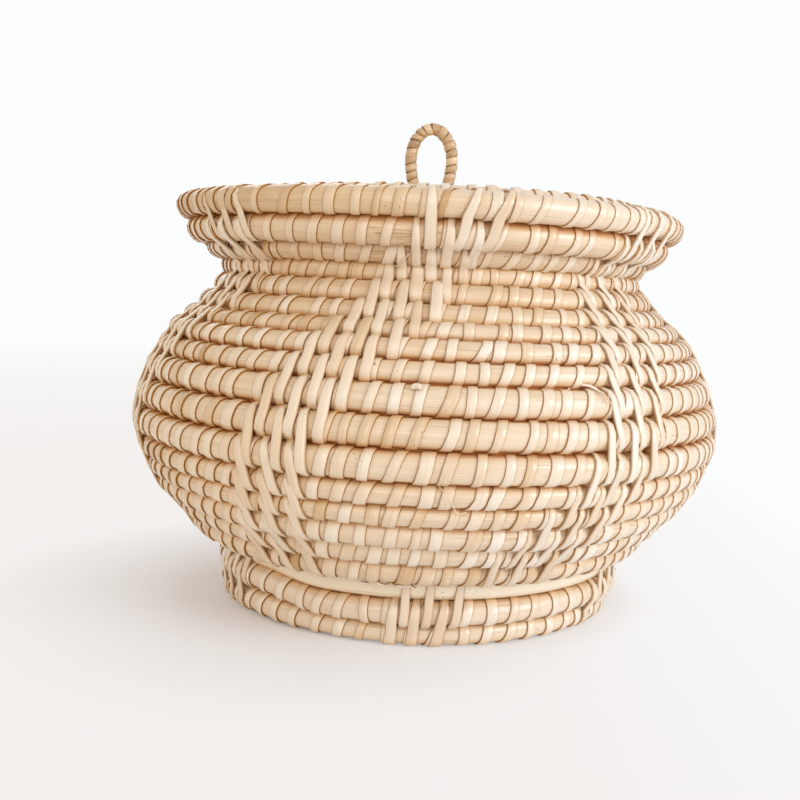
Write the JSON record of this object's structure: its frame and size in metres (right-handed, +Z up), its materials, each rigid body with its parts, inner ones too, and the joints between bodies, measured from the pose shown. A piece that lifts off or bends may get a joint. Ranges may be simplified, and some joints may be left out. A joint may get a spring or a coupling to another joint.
{
  "type": "lidded rattan basket",
  "caption": "Round-bellied coiled rattan storage basket with a flared mouth, a raised foot ring and a flat lift-off coiled lid with a wrapped loop handle.",
  "frame": {"origin": "on the floor, under the middle of the foot", "axes": "+Z up, -Y towards the front of the picture, +X to the right of it"},
  "size_m": [0.209, 0.2104, 0.1712],
  "materials": {
    "rattan_rod": "satin, fine lengthwise grain",
    "bare_rod": "smooth peeled rod, satin",
    "cane_strip": "split cane, satin",
    "handle_cane": "darker split cane, satin"
  },
  "bodies": {
    "basket": {"rim_rod": "rattan_rod", "throat_rod": "rattan_rod", "shoulder_rod": "rattan_rod", "belly_rod": "rattan_rod", "tuck_rod": "rattan_rod", "lower_rod": "rattan_rod", "base_rod": "rattan_rod", "foot_bare_hoop": "bare_rod", "foot_upper_hoop": "rattan_rod", "foot_lower_hoop": "rattan_rod", "foot_lacing_1": "cane_strip", "foot_lacing_2": "cane_strip", "foot_lacing_3": "cane_strip", "foot_lacing_4": "cane_strip", "foot_lacing_5": "cane_strip", "foot_lacing_6": "cane_strip", "wall_lacing_1": "cane_strip", "wall_lacing_2": "cane_strip", "wall_lacing_3": "cane_strip", "wall_lacing_4": "cane_strip", "wall_lacing_5": "cane_strip", "wall_lacing_6": "cane_strip", "wall_lacing_7": "cane_strip"},
    "lid": {"lid_seat_ring": "rattan_rod", "lid_edge_ring": "rattan_rod", "lid_coil": "rattan_rod", "lid_lacing_1": "cane_strip", "lid_lacing_2": "cane_strip", "lid_lacing_3": "cane_strip", "lid_lacing_4": "cane_strip", "lid_lacing_5": "cane_strip", "lid_lacing_6": "cane_strip", "handle_core": "handle_cane", "handle_wrap": "handle_cane"}
  },
  "joints": [
    {"name": "lid_lift", "type": "slide", "parent": "basket", "child": "lid", "axis": [0, 0, 1], "range_m": [0, 0.12]}
  ]
}
